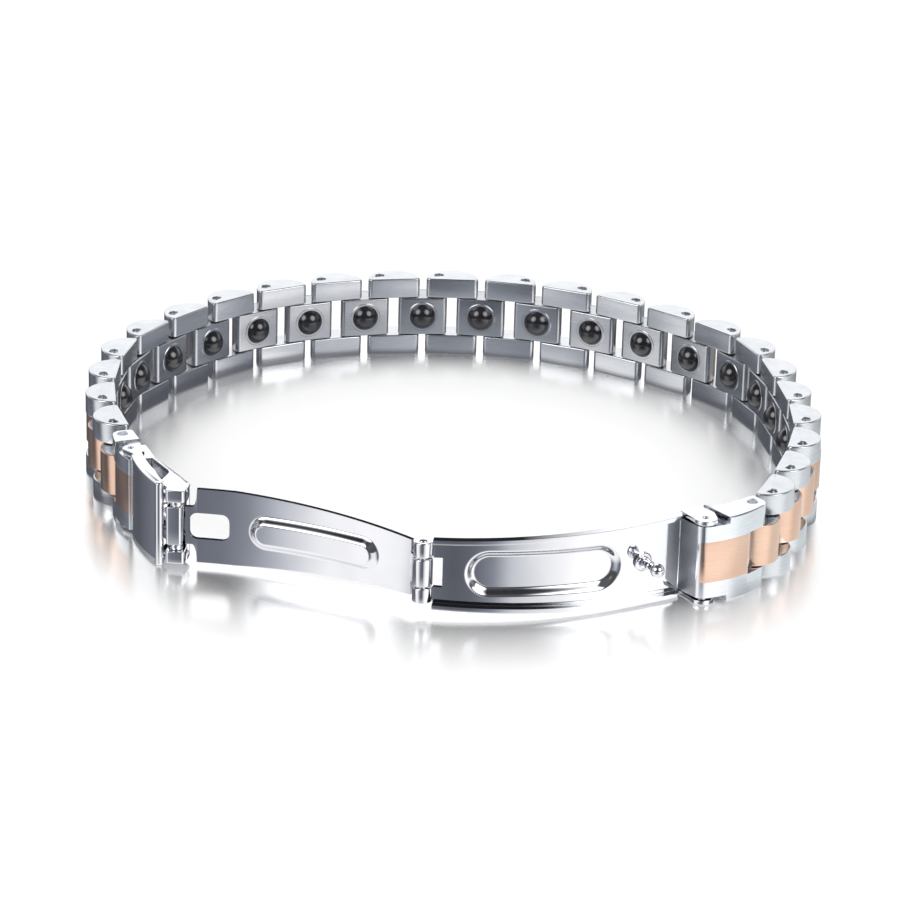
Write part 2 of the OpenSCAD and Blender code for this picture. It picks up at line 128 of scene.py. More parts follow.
def loft(rings):
    """Closed skin over rings of equally many points: faces join each ring to the next, and one face
    covers each end."""
    count, around = rings.shape[:2]
    index = np.arange(count * around).reshape(count, around)
    low, high = index[:-1], index[1:]
    quads = np.stack([low, np.roll(low, -1, 1), np.roll(high, -1, 1), high], -1).reshape(-1, 4)
    return rings.reshape(-1, 3), quads.tolist() + [index[0][::-1].tolist(), index[-1].tolist()]


def turned_over(part):
    """The same part upside down in the band, with its faces still pointing outwards."""
    points, faces = part
    return points * [1, 1, -1] + [0, 0, BAND_W], [face[::-1] for face in faces]


def joined(parts):
    """Several parts as one list of points and one of faces."""
    points, faces, count = [], [], 0
    for part_points, part_faces in parts:
        points.append(part_points)
        faces += [[index + count for index in face] for face in part_faces]
        count += len(part_points)
    return np.concatenate(points), faces


def placed(part, origin, along, out, up=UP):
    """A part drawn in millimetres, laid along the given directions from an origin in metres."""
    points, faces = part
    axes = np.stack([along, out, up])
    if np.linalg.det(axes) < 0:
        faces = [face[::-1] for face in faces]
    return origin + points * MM @ axes, faces


def piece(name, part, finish, slot, *nodes):
    """A shown piece made from a part in the frame, with its finish, that stands for CAD nodes."""
    points, faces = part
    mesh = bpy.data.meshes.new(name)
    mesh.from_pydata(points, [], faces)
    mesh.polygons.foreach_set("use_smooth", np.ones(len(faces), bool))
    mesh.set_sharp_from_angle(angle=np.radians(SMOOTH_BELOW))
    mesh.materials.append(finish)
    made = bpy.data.objects.new(name, mesh)
    bpy.context.scene.collection.objects.link(made)
    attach(made, "root")
    if nodes:
        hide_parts(*nodes)


def seat(node):
    """Where a link's flat inner face lies in the frame: its middle at the floor, the direction along
    it and the direction out of the loop.

    The face is the flat upright one with the largest area, found by adding up the areas of the
    triangles that point the same way.
    """
    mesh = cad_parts[node].data
    points = np.empty(3 * len(mesh.vertices))
    mesh.vertices.foreach_get("co", points)
    points = points.reshape(-1, 3)
    normals = np.empty(3 * len(mesh.polygons))
    mesh.polygons.foreach_get("normal", normals)
    normals = normals.reshape(-1, 3)
    areas = np.empty(len(mesh.polygons))
    mesh.polygons.foreach_get("area", areas)
    areas[np.abs(normals[:, 2]) > UPRIGHT_WITHIN] = 0
    alike = normals @ normals.T > SAME_WAY
    best = np.argmax(alike @ areas)
    inward = normals[best]
    out = -np.array([inward[0], inward[1], 0.0]) / np.hypot(inward[0], inward[1])
    along = np.array([out[1], -out[0], 0.0])
    corners = points[[i for p in np.flatnonzero(alike[best]) for i in mesh.polygons[p].vertices]]
    inner = np.min(points @ out)
    corners = corners[corners @ out < inner + FLAT_WITHIN * MM]
    reach = corners @ along
    return along * (reach.min() + reach.max()) / 2 + out * inner, along, out


class Value:
    """A socket with its tree, so that sums and products of values are written as expressions."""

    def __init__(self, tree, socket):
        self.tree = tree
        self.socket = socket

    def maths(self, operation, *values):
        """A Math node of that operation on these values."""
        node = self.tree.nodes.new("ShaderNodeMath")
        node.operation = operation
        for place, value in enumerate(values):
            connect(self.tree, node.inputs[place], value)
        return Value(self.tree, node.outputs[0])

    def __add__(self, other):
        return self.maths("ADD", self, other)

    __radd__ = __add__

    def __mul__(self, other):
        return self.maths("MULTIPLY", self, other)

    __rmul__ = __mul__

    def __truediv__(self, other):
        return self.maths("DIVIDE", self, other)

    def __rtruediv__(self, other):
        return self.maths("DIVIDE", other, self)


def connect(tree, socket, value):
    """Gives a socket its value, or links it to a wrapped one."""
    if isinstance(value, Value):
        tree.links.new(value.socket, socket)
    else:
        socket.default_value = value


class Finish:
    """The nodes of a material or of the surroundings, added one at a time."""

    def __init__(self, owner):
        owner.use_nodes = True
        self.tree = owner.node_tree
        self.tree.nodes.clear()

    def node(self, kind, settings=None, output=0, **sockets):
        """A node of that kind: its settings are set first, then its sockets, named with _ for a
        space or by their number after an i. Returns the wrapped output."""
        node = self.tree.nodes.new("ShaderNode" + kind)
        for name, value in (settings or {}).items():
            if name == "stops":
                stops = node.color_ramp.elements
                stops.remove(stops[1])
                stops[0].position = value[0][0]
                for place, _ in value[1:]:
                    stops.new(place)
                for stop, (_, shade) in zip(stops, value):
                    stop.color = shade if np.ndim(shade) else (shade, shade, shade, 1)
            else:
                setattr(node, name, value)
        for name, value in sockets.items():
            place = int(name[1:]) if name[1:].isdigit() else name.replace("_", " ")
            connect(self.tree, node.inputs[place], value)
        return Value(self.tree, node.outputs[output]) if node.outputs else None


def brushed_metal(name, dark, light, grain, patches, streaky, coarse, relief):
    """Metal brushed along the band: streaks run level, so the noise is stretched level and changes
    quickly with height.

    The colour goes from dark to light with the streaks by their share, and with soft patches by the
    rest. The streaks also shift the roughness, from coarse upwards, and the slope, by the relief.
    """
    material = bpy.data.materials.new(name)
    finish = Finish(material)
    place = finish.node("TexCoord", output=3)
    stretched = finish.node("Mapping", {"vector_type": "POINT"}, Vector=place, Scale=grain)
    streak = finish.node("TexNoise", i0=stretched, Scale=1.0, Detail=3.0, Roughness=0.6)
    cloud = finish.node("TexNoise", i0=place, Scale=patches, Detail=2.0)
    shade = finish.node("ValToRGB", {"stops": [(0.3, dark), (0.7, light)]},
                        Fac=streak * streaky + cloud * (1 - streaky))
    bump = finish.node("Bump", Strength=relief, Distance=STREAK_DEPTH, Height=streak)
    surface = finish.node("BsdfPrincipled", Base_Color=shade, Metallic=1.0,
                          Roughness=streak * 0.1 + coarse, Normal=bump)
    finish.node("OutputMaterial", Surface=surface)
    return material


def brushed_steel(name, coarse, pale=1.0):
    """Stainless steel as coarse as given, with both of its colours times pale."""
    dark, light = ((*(part * pale for part in colour), 1) for colour in (STEEL_DARK, STEEL_LIGHT))
    return brushed_metal(name, dark, light, STEEL_GRAIN, patches=350.0, streaky=0.7,
                         coarse=coarse, relief=coarse * 0.7)


def block_with_mouth(outline, low, high, edge, mouth, hole, pin, deep):
    """Bar whose upper face has a hole with the end of a pin in it: rings go on from the upper face
    to the rim of the hole, down its wall and over the pin's end, in line with the outline's points."""
    away = outline[:, 0] - mouth
    way = away / np.linalg.norm(away, axis=1)[:, None]
    rim = hole + MOUTH_CHAMFER
    floor = deep + UNDER_PIN
    radius = np.array([rim + HOLD, rim, hole, hole, pin, pin - MOUTH_CHAMFER, TINY])
    depth = np.array([0, 0, MOUTH_CHAMFER, floor, floor, deep, deep - MOUTH_CHAMFER])
    flat = np.asarray(mouth) + radius[:, None, None] * way
    tall = np.broadcast_to(high - depth[:, None, None], flat.shape[:2] + (1,))
    mouth_rings = np.concatenate([flat, tall], -1)
    return loft(np.concatenate([bar_rings(outline, low, high, edge), mouth_rings]))


def half_round(half, height):
    """Outline of a link seen from above: flat inside between two rounded corners, which are those of
    a long box, and an arc outside that starts where the corners end."""
    box = [(-half, 0), (half, 0), (half, FAR), (-half, FAR)]
    flat = rounded(box, [UPRIGHT_EDGE] * 4, LINK_CORNER_STEPS)[:2 * LINK_CORNER_STEPS]
    middle = height - half
    start = np.degrees(np.arcsin((UPRIGHT_EDGE - middle) / half))
    return np.concatenate([flat, arc((0, middle), half, start, 180 - start, LINK_ARC_STEPS)])


def post(middle, radius, low, high, edge=0.05, steps=32):
    """Round upright bar with rounded edges."""
    circle = arc(middle, radius, 0, 360 - 360 / steps, steps)
    return loft(bar_rings(circle, low, high, edge, 4))


steel = brushed_steel("brushed steel", coarse=0.2)
rail = half_round(LINK_LEN / 2, LINK_T)
names = sorted(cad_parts)
outer_names = [name for name in names if name.startswith("outer_link_")]
for count, node in enumerate(outer_names):
    side = 1 if count + 1 > len(outer_names) / 2 else -1
    mouth = (side * PIN_SPAN / 2, PIN_DEPTH)
    upper = block_with_mouth(rail, BAND_W - RAIL_H, BAND_W, FLAT_EDGE,
                             mouth, MOUTH_R, PIN_R, MOUTH_DEPTH)
    pins = [post((place * PIN_SPAN / 2, PIN_DEPTH), PIN_R, RAIL_H / 2, BAND_W - RAIL_H / 2)
            for place in (-1, 1)]
    link = joined([upper, turned_over(upper)] + pins)
    piece(node + "_blocks", placed(link, *seat(node)), steel, "steel", node)

# Centre links
# Each is a block of the same steel between the rails, hung on the pins of two outer links; its steel is
# drawn darker as painted shade. A rose gold cap covers its round outer face, and a seat for the magnet
# is turned into its flat inner face.

CENTRE_LEN = 6.1
CENTRE_GAP = 0.1
CENTRE_LOW = RAIL_H + CENTRE_GAP
CENTRE_HIGH = BAND_W - RAIL_H - CENTRE_GAP
CAP_T = 0.2
CAP_EDGE = 0.08
CAP_END = 20
CAP_STEPS = 40
SEAT_IN_R = 1.55
SEAT_OUT_R = 1.9
SEAT_PROUD = 0.05
SEAT_CHAMFER = 0.06
SEAT_SUNK = 0.1
GOLD_DARK = (0.72, 0.47, 0.35, 1)
GOLD_LIGHT = (0.80, 0.57, 0.45, 1)
GOLD_GRAIN = (400, 400, 12000)


def spun(profile, steps=40):
    """Part turned on a lathe about +Z, from a profile of rows of radius and height."""
    profile = np.asarray(profile, float)
    turn = np.linspace(0, 2 * np.pi, steps, endpoint=False)
    way = np.stack([np.cos(turn), np.sin(turn)], -1)
    flat = profile[:, None, :1] * way
    tall = np.broadcast_to(profile[:, None, 1:], flat.shape[:2] + (1,))
    return loft(np.concatenate([flat, tall], -1))


gold = brushed_metal("rose gold", GOLD_DARK, GOLD_LIGHT, GOLD_GRAIN, patches=260.0, streaky=0.5,
                     coarse=0.17, relief=0.08)
# The same steel drawn darker for the centre blocks: painted shade.
shaded_centre_steel = brushed_steel("centre steel, painted shade", coarse=0.2, pale=0.8)
half = CENTRE_LEN / 2
body = half_round(half, LINK_T - CAP_T / 2)
crown_y = LINK_T - half
cap = np.concatenate([arc((0, crown_y), half, CAP_END, 180 - CAP_END, CAP_STEPS),
                      arc((0, crown_y), CAP_T - half, 180 - CAP_END, CAP_END, CAP_STEPS)])
body_shape = loft(bar_rings(body, CENTRE_LOW, CENTRE_HIGH, FLAT_EDGE))
cap_shape = loft(bar_rings(cap, CENTRE_LOW, CENTRE_HIGH, CAP_EDGE))
seat_ring = spun([(SEAT_OUT_R, -SEAT_SUNK), (SEAT_OUT_R, 0), (SEAT_OUT_R - SEAT_CHAMFER, SEAT_PROUD),
                  (SEAT_IN_R + SEAT_CHAMFER, SEAT_PROUD), (SEAT_IN_R, 0), (SEAT_IN_R, -SEAT_SUNK)])
centre_names = [name for name in names if name.startswith("centre_link_")]
centre_seats = {node: seat(node) for node in centre_names}
for node in centre_names:
    origin, along, out = centre_seats[node]
    middle = origin + UP * BAND_W / 2 * MM
    block = joined([placed(body_shape, origin, along, out),
                    placed(seat_ring, middle, along, UP, -out)])
    piece(node + "_block", block, shaded_centre_steel, "steel", node)
    piece(node + "_cap", placed(cap_shape, origin, along, out), gold, "rose_gold")

# Magnets
# Each is a disc of black ferrite with a domed face, polished until it shines and glued into its seat.
# All of them are one piece here, as they are one node.

MAGNET_R = 1.6
DOME_H = 1.1
MAGNET_DEPTH = 0.6
TOP_TURN = 0.01
FERRITE_DARK = (0.006, 0.006, 0.008, 1)
FERRITE_LIGHT = (0.014, 0.014, 0.018, 1)


def polished_ferrite(name):
    """Black ferrite under a polish: nearly black, with a faint cloudy change of gloss."""
    material = bpy.data.materials.new(name)
    finish = Finish(material)
    cloud = finish.node("TexNoise", i0=finish.node("TexCoord", output=3), Scale=900.0, Detail=2.0)
    shade = finish.node("ValToRGB", {"stops": [(0.3, FERRITE_DARK), (0.7, FERRITE_LIGHT)]}, Fac=cloud)
    surface = finish.node("BsdfPrincipled", Base_Color=shade,
                          Roughness=cloud * 0.06 + 0.1, IOR=1.75)
    finish.node("OutputMaterial", Surface=surface)
    return material


def dome_profile(radius, height, depth, steps=12):
    """Profile of a domed disc: a straight side up to the inner face, then an arc to the top, of the
    radius that passes through the rim and the top."""
    sphere = (radius ** 2 + height ** 2) / (2 * height)
    rim = np.arcsin(radius / sphere)
    turn = np.linspace(rim, TOP_TURN, steps)
    curve = np.stack([sphere * np.sin(turn), sphere * np.cos(turn) + height - sphere], -1)
    return np.concatenate([[(radius, -depth)], curve])


dome = spun(dome_profile(MAGNET_R, DOME_H, MAGNET_DEPTH))
domes = [placed(dome, origin + UP * BAND_W / 2 * MM, along, UP, -out)
         for origin, along, out in centre_seats.values()]
piece("magnet_domes", joined(domes), polished_ferrite("polished ferrite"), "magnet", "magnets")

# End links
# Each is a solid steel block of the band's own section: two rails for the last centre link's pin, a
# body with rose gold on the middle of its outer face, and a nose on the clasp's pin, cut away above
# and below for the clasp's ears. A thin plate of darker steel over the right one's end is painted shade.

END_PIN_OUT = 0.2
NOSE_R = 1.1
OVERHANG = 0.75
END_CROWN_R = 13
END_BEVEL = 0.05
BEVEL_STEPS = 3
SHARP_OVER = 50
END_RADII = [0.4, 0.22, 0.22, 0.2, 1, 1]
END_PIN_LOW = 0.6
SLOT_REACH = 1.9
EAR_R = 0.95
RECESS_LEN = 1.3
HEEL_SLOPE = 1.2
EDGE_GAP = 0.05
SHEET_T = 0.5
EAR_SHADE = 0.2
RECESS_H = EDGE_GAP + SHEET_T + EAR_SHADE
NOSE_STEPS = 20
BARE_NOSE_STEPS = 8
INLAY_PROUD = 0.012
INLAY_T = 0.2
INLAY_EDGE = 0.01
FACE_T = 0.1
FACE_FLOOR = -2.68


def box_part(low, high):
    """Plain box between two corners, to cut with and for the small tabs behind the fold's knuckles."""
    low, high = np.asarray(low, float), np.asarray(high, float)
    square = np.array([low[:2], (high[0], low[1]), high[:2], (low[0], high[1])])
    return loft(np.stack([np.c_[square, np.full(4, level)] for level in (low[2], high[2])]))


def mesh_of(part):
    """A bare mesh of a part in its own millimetres, in an object that isn't in the scene yet."""
    mesh = bpy.data.meshes.new("work")
    mesh.from_pydata(part[0], [], part[1])
    return bpy.data.objects.new("work", mesh)


def reworked(part, *cutters, bevel=0.0):
    """The part after the cutters are taken from it and its sharp edges are rounded to bevel."""
    work = mesh_of(part)
    helpers = [work] + [mesh_of(cutter) for cutter in cutters]
    for helper in helpers:
        bpy.context.scene.collection.objects.link(helper)
    for helper in helpers[1:]:
        cut = work.modifiers.new("cut", "BOOLEAN")
        cut.object = helper
        cut.solver = "EXACT"
    if bevel:
        round_off = work.modifiers.new("round off", "BEVEL")
        round_off.width = bevel
        round_off.segments = BEVEL_STEPS
        round_off.limit_method = "ANGLE"
        round_off.angle_limit = np.radians(SHARP_OVER)
    bpy.context.view_layer.update()
    mesh = work.evaluated_get(bpy.context.evaluated_depsgraph_get()).to_mesh()
    points = np.empty(3 * len(mesh.vertices))
    mesh.vertices.foreach_get("co", points)
    faces = [list(face.vertices) for face in mesh.polygons]
    for helper in helpers:
        bpy.data.meshes.remove(helper.data)
    return points.reshape(-1, 3), faces


def pin_place(node):
    """Foot of an upright pin's axis in the frame."""
    low, high = (np.asarray(corner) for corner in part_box(node))
    return (low + high) / 2 * [1, 1, 0]


def arc_middle(start, stop, radius):
    """Middle of the arc from start to stop, on the inner side of the line between them: it lies off
    the line's middle by the root of the radius squared less the half length squared."""
    start, stop = np.asarray(start, float), np.asarray(stop, float)
    step = stop - start
    length = np.hypot(*step)
    inward = np.array([step[1], -step[0]]) / length
    return (start + stop) / 2 + np.sqrt(radius ** 2 - (length / 2) ** 2) * inward


def bearing(start, stop):
    """Direction from one point to another, in degrees."""
    return np.degrees(np.arctan2(stop[1] - start[1], stop[0] - start[0]))


fine_steel = brushed_steel("fine steel", coarse=0.1, pale=1.2)
# A darker, rougher copy of the steel, used as painted shade on the right end link's end.
painted_shade_steel = brushed_steel("painted shade steel", coarse=0.3, pale=0.7)


def end_link(node, pin, sense, span, over, heel, reach, nose_r):
    """End link with its chain pin at the origin and its clasp pin at the span: the outline is made of
    the flat inner face, the heel, and arcs over the nose, the long outer curve and the rails' ends.

    The nose is an arc of its radius that meets the end face and the outer curve without a corner, so
    its middle lies at the crown's radius less its own from the crown's middle.
    """
    _, along, out = seat(node)
    along = sense * along
    origin = pin_place(pin) - (along * span + out * END_PIN_OUT) * MM
    heel_x = span - EAR_R - HEEL_SLOPE
    slope_x = min(span / 2, heel_x - HOLD)
    low_corners = [(-over, -PIN_DEPTH), (slope_x, -PIN_DEPTH), (heel_x, -heel),
                   (span + reach, -heel), (span + reach, FAR), (-over, FAR)]
    lower = rounded(low_corners, END_RADII)[:4 * CORNER_STEPS]
    top = (0, over)
    crown = arc_middle(top, (span, END_PIN_OUT + NOSE_R), END_CROWN_R)
    last = bearing(crown, top)
    inner_r = END_CROWN_R - nose_r
    first = np.arccos((span + reach - nose_r - crown[0]) / inner_r)
    nose_middle = crown + inner_r * np.array([np.cos(first), np.sin(first)])
    nose_arc = arc(nose_middle, nose_r, 0, np.degrees(first), NOSE_STEPS)
    crown_arc = arc(crown, END_CROWN_R, np.degrees(first), last, 60)[1:-1]
    outline = np.concatenate([lower, nose_arc, crown_arc, arc((0, 0), over, last, 180, 14)])
    body = loft(bar_rings(outline, 0, BAND_W, FLAT_EDGE))
    recess_x = span - EAR_R - RECESS_LEN
    cuts = [box_part((-FAR, -FAR, RAIL_H), (SLOT_REACH, FAR, BAND_W - RAIL_H)),
            box_part((recess_x, -FAR, -1), (FAR, FAR, RECESS_H)),
            box_part((recess_x, -FAR, BAND_W - RECESS_H), (FAR, FAR, BAND_W + 1))]
    hole = post((0, 0), MOUTH_R, BAND_W - MOUTH_DEPTH, BAND_W + 1, HOLD)
    body = reworked(body, *cuts, hole, turned_over(hole), bevel=END_BEVEL)
    body = joined([body, post((0, 0), PIN_R, END_PIN_LOW, BAND_W - END_PIN_LOW)])
    piece(node + "_body", placed(body, origin, along, out), fine_steel, "steel", node)
    face = np.concatenate([nose_arc[BARE_NOSE_STEPS:], crown_arc])
    face = face[face[:, 0, 0] > SLOT_REACH + INLAY_EDGE]
    strip = np.stack([face[:, 0] + INLAY_PROUD * face[:, 1], face[:, 1]], 1)
    back = np.stack([face[:, 0] - INLAY_T * face[:, 1], -face[:, 1]], 1)[::-1]
    inlay = bar_rings(np.concatenate([strip, back]), CENTRE_LOW, CENTRE_HIGH, INLAY_EDGE, 3)
    piece(node + "_inlay", placed(loft(inlay), origin, along, out), gold, "rose_gold")


end_link("left_end_link", "left_end_pin", sense=-1, span=4.2, over=1.15, heel=2.1,
         reach=NOSE_R + OVERHANG, nose_r=0.2)
end_link("right_end_link", "right_end_pin", sense=1, span=7.1, over=1.5, heel=2.7,
         reach=NOSE_R, nose_r=NOSE_R)

# Painted shade: a thin plate of the darker steel over the right end link's end.
face_low = RECESS_H + END_BEVEL
face_plan = rounded([(NOSE_R - FACE_T, FACE_FLOOR), (NOSE_R + INLAY_PROUD, FACE_FLOOR),
                     (NOSE_R + INLAY_PROUD, 0), (NOSE_R - FACE_T, 0)], [INLAY_EDGE] * 4)
face = loft(bar_rings(face_plan, face_low, BAND_W - face_low, INLAY_EDGE, 3))
_, along, out = seat("right_end_link")
right_shade_plate = placed(face, pin_place("right_end_pin"), along, out)
piece("right_end_link_painted_shade", right_shade_plate, painted_shade_steel, "steel")

# Long blade
# It is the inner blade of the clasp, pressed from polished steel sheet and bent to the wrist, with
# both edges turned up as lips and an oval channel pressed in. Ears at one end hold the end link's pin,
# and two knuckles are rolled at the other.

MID_Z = BAND_W / 2
LONG_DROP = 3.4
LONG_BOW_R = 39.5
LONG_INSET = 0.95
LIP_H = 1.1
LIP_FROM = 2.3
LIP_RUN = 0.6
LIP_LEAST = 0.01
LIP_BEND = 0.3
CHANNEL_AT = 18
CHANNEL_LEN = 17.4
CHANNEL_H = 5.6
CHANNEL_DEPTH = 0.7
CHANNEL_WALL = 1.05
BACK_WIDER = 0.3
BARREL_R = 1.1
BARREL_EDGE = 0.12
SPLIT = 0.05
FOLD_MID_H = 3.3
FOLD_OUTER_H = 1.8
NOTCH_LEN = 1
TAB_IN = 0.15
TAB_GAP = 0.05
TAB_REACH = 0.5
TAB_OUT = 0.22
GAP = 0.1
CELL = 0.1
SHEET_BEVEL = 0.24
CROSS_BOW = 0.04
PROUD = 0.012
LONG_EAR_R = 1.3
EAR_TOP = BAND_W - EDGE_GAP + PROUD
EAR_EDGE = 0.07
EAR_HOLE_R = 0.36
EAR_PIN_R = 0.3
EAR_PIN_LOW = 0.1
RIGHT_PIN = pin_place("right_end_pin")
FOLD_PIN = pin_place("fold_pin")
CATCH_PIN = pin_place("catch_pin")
LEFT_PIN = pin_place("left_end_pin")
EASED = "SMOOTHSTEP"
POLISH_DARK = (0.74, 0.75, 0.78, 1)
POLISH_LIGHT = (0.80, 0.81, 0.84, 1)
POLISH_GRAIN = (300, 300, 9000)
# Black painted as shade on what faces up, with how far up it starts and how it fades to the right.
UPWARD_PAINTED_SHADE = (0.012, 0.012, 0.015, 1)
PAINTED_SHADE_RISE = (0.45, 0.8)
PAINTED_SHADE_FADE = (0.008, 0.018)


def between(finish, value, start, stop, low=0.0, high=1.0, kind="LINEAR"):
    """Goes from low to high, and no further, as the value goes from start to stop: in a straight
    line, or easing in and out."""
    return finish.node("MapRange", {"interpolation_type": kind}, Value=value,
                       i1=start, i2=stop, i3=low, i4=high)


def blended(finish, share, first, second):
    """The first shader, with the share of the second in it."""
    return finish.node("MixShader", i0=share, i1=first, i2=second)


def polished_steel(name, edges=0.0):
    """Polished stainless steel: a clear mirror with the faintest level draw lines and haze.

    Painted shade: what faces up, like cut edges and the upper sides of lips, is mixed with black by the
    share given; the share eases in with the height part of the surface's direction, and fades towards
    the right.
    """
    material = bpy.data.materials.new(name)
    finish = Finish(material)
    place = finish.node("TexCoord", output=3)
    stretched = finish.node("Mapping", {"vector_type": "POINT"}, Vector=place, Scale=POLISH_GRAIN)
    streak = finish.node("TexNoise", i0=stretched, Scale=1.0, Detail=2.0)
    haze = finish.node("TexNoise", i0=place, Scale=220.0, Detail=2.0)
    shade = finish.node("ValToRGB", {"stops": [(0.3, POLISH_DARK), (0.7, POLISH_LIGHT)]}, Fac=haze)
    rise = finish.node("SeparateXYZ", output=2, Vector=finish.node("NewGeometry", output=1))
    across = finish.node("SeparateXYZ", output=0, Vector=place)
    # Painted shade: surfaces that face up are mixed with black.
    shade_facing_up = between(finish, rise, *PAINTED_SHADE_RISE, kind=EASED)
    share = shade_facing_up * between(finish, across, *PAINTED_SHADE_FADE, edges, 0.0)
    bump = finish.node("Bump", Strength=0.03, Distance=STREAK_DEPTH, Height=streak)
    surface = finish.node("BsdfPrincipled", Base_Color=shade, Metallic=1.0,
                          Roughness=haze * 0.05 + 0.05, Normal=bump)
    black = finish.node("BsdfPrincipled", Base_Color=UPWARD_PAINTED_SHADE, Roughness=0.6, IOR=1.05)
    finish.node("OutputMaterial", Surface=blended(finish, share, surface, black))
    return material


def axes_between(start, stop):
    """Origin, direction along and direction out of the loop for a clasp piece between two pins."""
    along = (stop - start) / np.linalg.norm(stop - start)
    return start, along, np.array([-along[1], along[0], 0.0])


def on_bow(middle, radius, x, out, z):
    """Points of a bent sheet: at the distance out from its middle surface, whose bend has that middle
    and radius. A negative radius bends it the other way."""
    turn = np.arcsin((x - middle[0]) / radius)
    reach = radius + out
    return np.stack([middle[0] + reach * np.sin(turn), middle[1] + reach * np.cos(turn), z], -1)


def bowed(middle, radius, x, out, z):
    """The same for a whole skin of sheet, from heights over the band's middle, with its rows of
    points along the sheet and its columns across."""
    return on_bow(middle, radius, x, out, MID_Z + z).swapaxes(0, 1)


def eased(share):
    """Rises smoothly from 0 to 1 as the share does: three times its square less twice its cube."""
    share = np.clip(share, 0, 1)
    return share * share * (3 - 2 * share)


def channel_form(x, z, at, length, height, wall):
    """Share of the full depth of an oval channel: 0 outside it and 1 on its floor. The wall's height
    eases over its width, by the distance from the channel's middle line."""
    away = np.hypot(np.maximum(np.abs(x - at) - (length - height) / 2, 0), z)
    return eased((height / 2 - away) / wall)


def sheet_part(front, back, keep):
    """Closed sheet between a front and a back grid of points. Only cells that are kept are metal, and
    a wall closes the sheet along every side of a kept cell whose neighbour isn't kept."""
    rows, columns = front.shape[:2]
    index = np.arange(rows * columns).reshape(rows, columns)
    under = index + rows * columns
    a, b, c, d = index[:-1, :-1], index[1:, :-1], index[1:, 1:], index[:-1, 1:]
    faces = [np.stack([a, d, c, b], -1)[keep], np.stack([a, b, c, d], -1)[keep] + rows * columns]
    padded = np.pad(keep, 1).astype(int)
    across = np.diff(padded[:, 1:-1], axis=0)
    along = np.diff(padded[1:-1], axis=1)
    walls = np.stack([index[:, :-1], under[:, :-1], under[:, 1:], index[:, 1:]], -1)
    faces += [walls[across > 0], walls[across < 0][:, ::-1]]
    walls = np.stack([index[:-1], index[1:], under[1:], under[:-1]], -1)
    faces += [walls[along > 0], walls[along < 0][:, ::-1]]
    used, faces = np.unique(np.concatenate(faces), return_inverse=True)
    points = np.concatenate([front.reshape(-1, 3), back.reshape(-1, 3)])[used]
    return points, faces.reshape(-1, 4).tolist()


def lipped(half, lip, bend, flat_steps, lip_steps):
    """Section across a sheet whose two edges are turned up square: rows of height, distance out, and
    the two parts of the direction out of the front.

    It is drawn at the middle of the sheet: a flat line, a quarter circle of the bend's radius, and a
    straight side up to the lip's height, so placed that the side's back lies at the half height.
    """
    flat_end = half - SHEET_T / 2 - bend
    flat = np.linspace(0, 1, flat_steps)[:, None] * flat_end
    turn = np.radians(np.linspace(0, 90, 8))[1:, None] + 0 * flat_end
    side = np.linspace(0, 1, lip_steps)[1:, None] * (lip - bend)
    straight = np.broadcast_to(flat_end + bend, side.shape)
    z = np.concatenate([flat, flat_end + bend * np.sin(turn), straight])
    out = np.concatenate([0 * flat, bend * (1 - np.cos(turn)), bend + side])
    lean = np.concatenate([0 * flat, turn, np.full(side.shape, np.pi / 2)])
    return z, out, -np.sin(lean), np.cos(lean)


def mirrored_across(z, out, front_z, front_out):
    """The section with its other half, which is the same turned over, joined to it at the middle."""
    return (np.concatenate([-z[:0:-1], z]), np.concatenate([out[:0:-1], out]),
            np.concatenate([-front_z[:0:-1], front_z]), np.concatenate([front_out[:0:-1], front_out]))


def ear_part(outline, middle):
    """Ear of sheet at the top of the band, with a hole in which the end of the pin lies low."""
    return block_with_mouth(outline, EAR_TOP - SHEET_T, EAR_TOP, EAR_EDGE, middle,
                            EAR_HOLE_R, EAR_PIN_R, EAR_PIN_LOW)


mirror_steel = polished_steel("polished steel")
# This copy has painted shade on what faces up.
shaded_sheet_steel = polished_steel("polished sheet with painted shade", edges=1.0)
long_span = np.linalg.norm(FOLD_PIN - RIGHT_PIN) / MM
long_middle = arc_middle((0, -LONG_DROP), (long_span, 0), LONG_BOW_R)
fold_mid_z = MID_Z - FOLD_MID_H / 2
fold_outer_z = fold_mid_z - GAP - FOLD_OUTER_H
notch_x = long_span - BARREL_R - NOTCH_LEN
sheet_end = long_span - BARREL_R - HOLD
x = np.concatenate([np.arange(0, notch_x - CELL / 2, CELL), np.linspace(notch_x, sheet_end, 8)])
edge_z = MID_Z - EDGE_GAP + (EDGE_GAP - LONG_INSET) * x / long_span
lip = LIP_BEND + LIP_LEAST + (LIP_H - LIP_BEND) * eased((x - LIP_FROM) / LIP_RUN)
section = lipped(edge_z, lip, LIP_BEND, flat_steps=42, lip_steps=6)
z, out, front_z, front_out = mirrored_across(*section)
grid_x = np.broadcast_to(x, z.shape)
sunk = CHANNEL_DEPTH * channel_form(grid_x, z, CHANNEL_AT, CHANNEL_LEN, CHANNEL_H, CHANNEL_WALL)
sunk_back = CHANNEL_DEPTH * channel_form(grid_x, z, CHANNEL_AT, CHANNEL_LEN + BACK_WIDER,
                                         CHANNEL_H + BACK_WIDER, CHANNEL_WALL)
shift_z = front_z * SHEET_T / 2
shift_out = front_out * SHEET_T / 2
out = out - CROSS_BOW * (z / edge_z) ** 2
front = bowed(long_middle, LONG_BOW_R, grid_x, out + shift_out - sunk, z + shift_z)
back = bowed(long_middle, LONG_BOW_R, grid_x, out - shift_out - sunk_back, z - shift_z)
middle_z = (z[:-1] + z[1:]).T[:-1] / 2
notch = (x[:-1] > notch_x - CELL / 4)[:, None] & (np.abs(middle_z) < FOLD_MID_H / 2 + GAP)
plate = reworked(sheet_part(front, back, ~notch), bevel=SHEET_BEVEL)
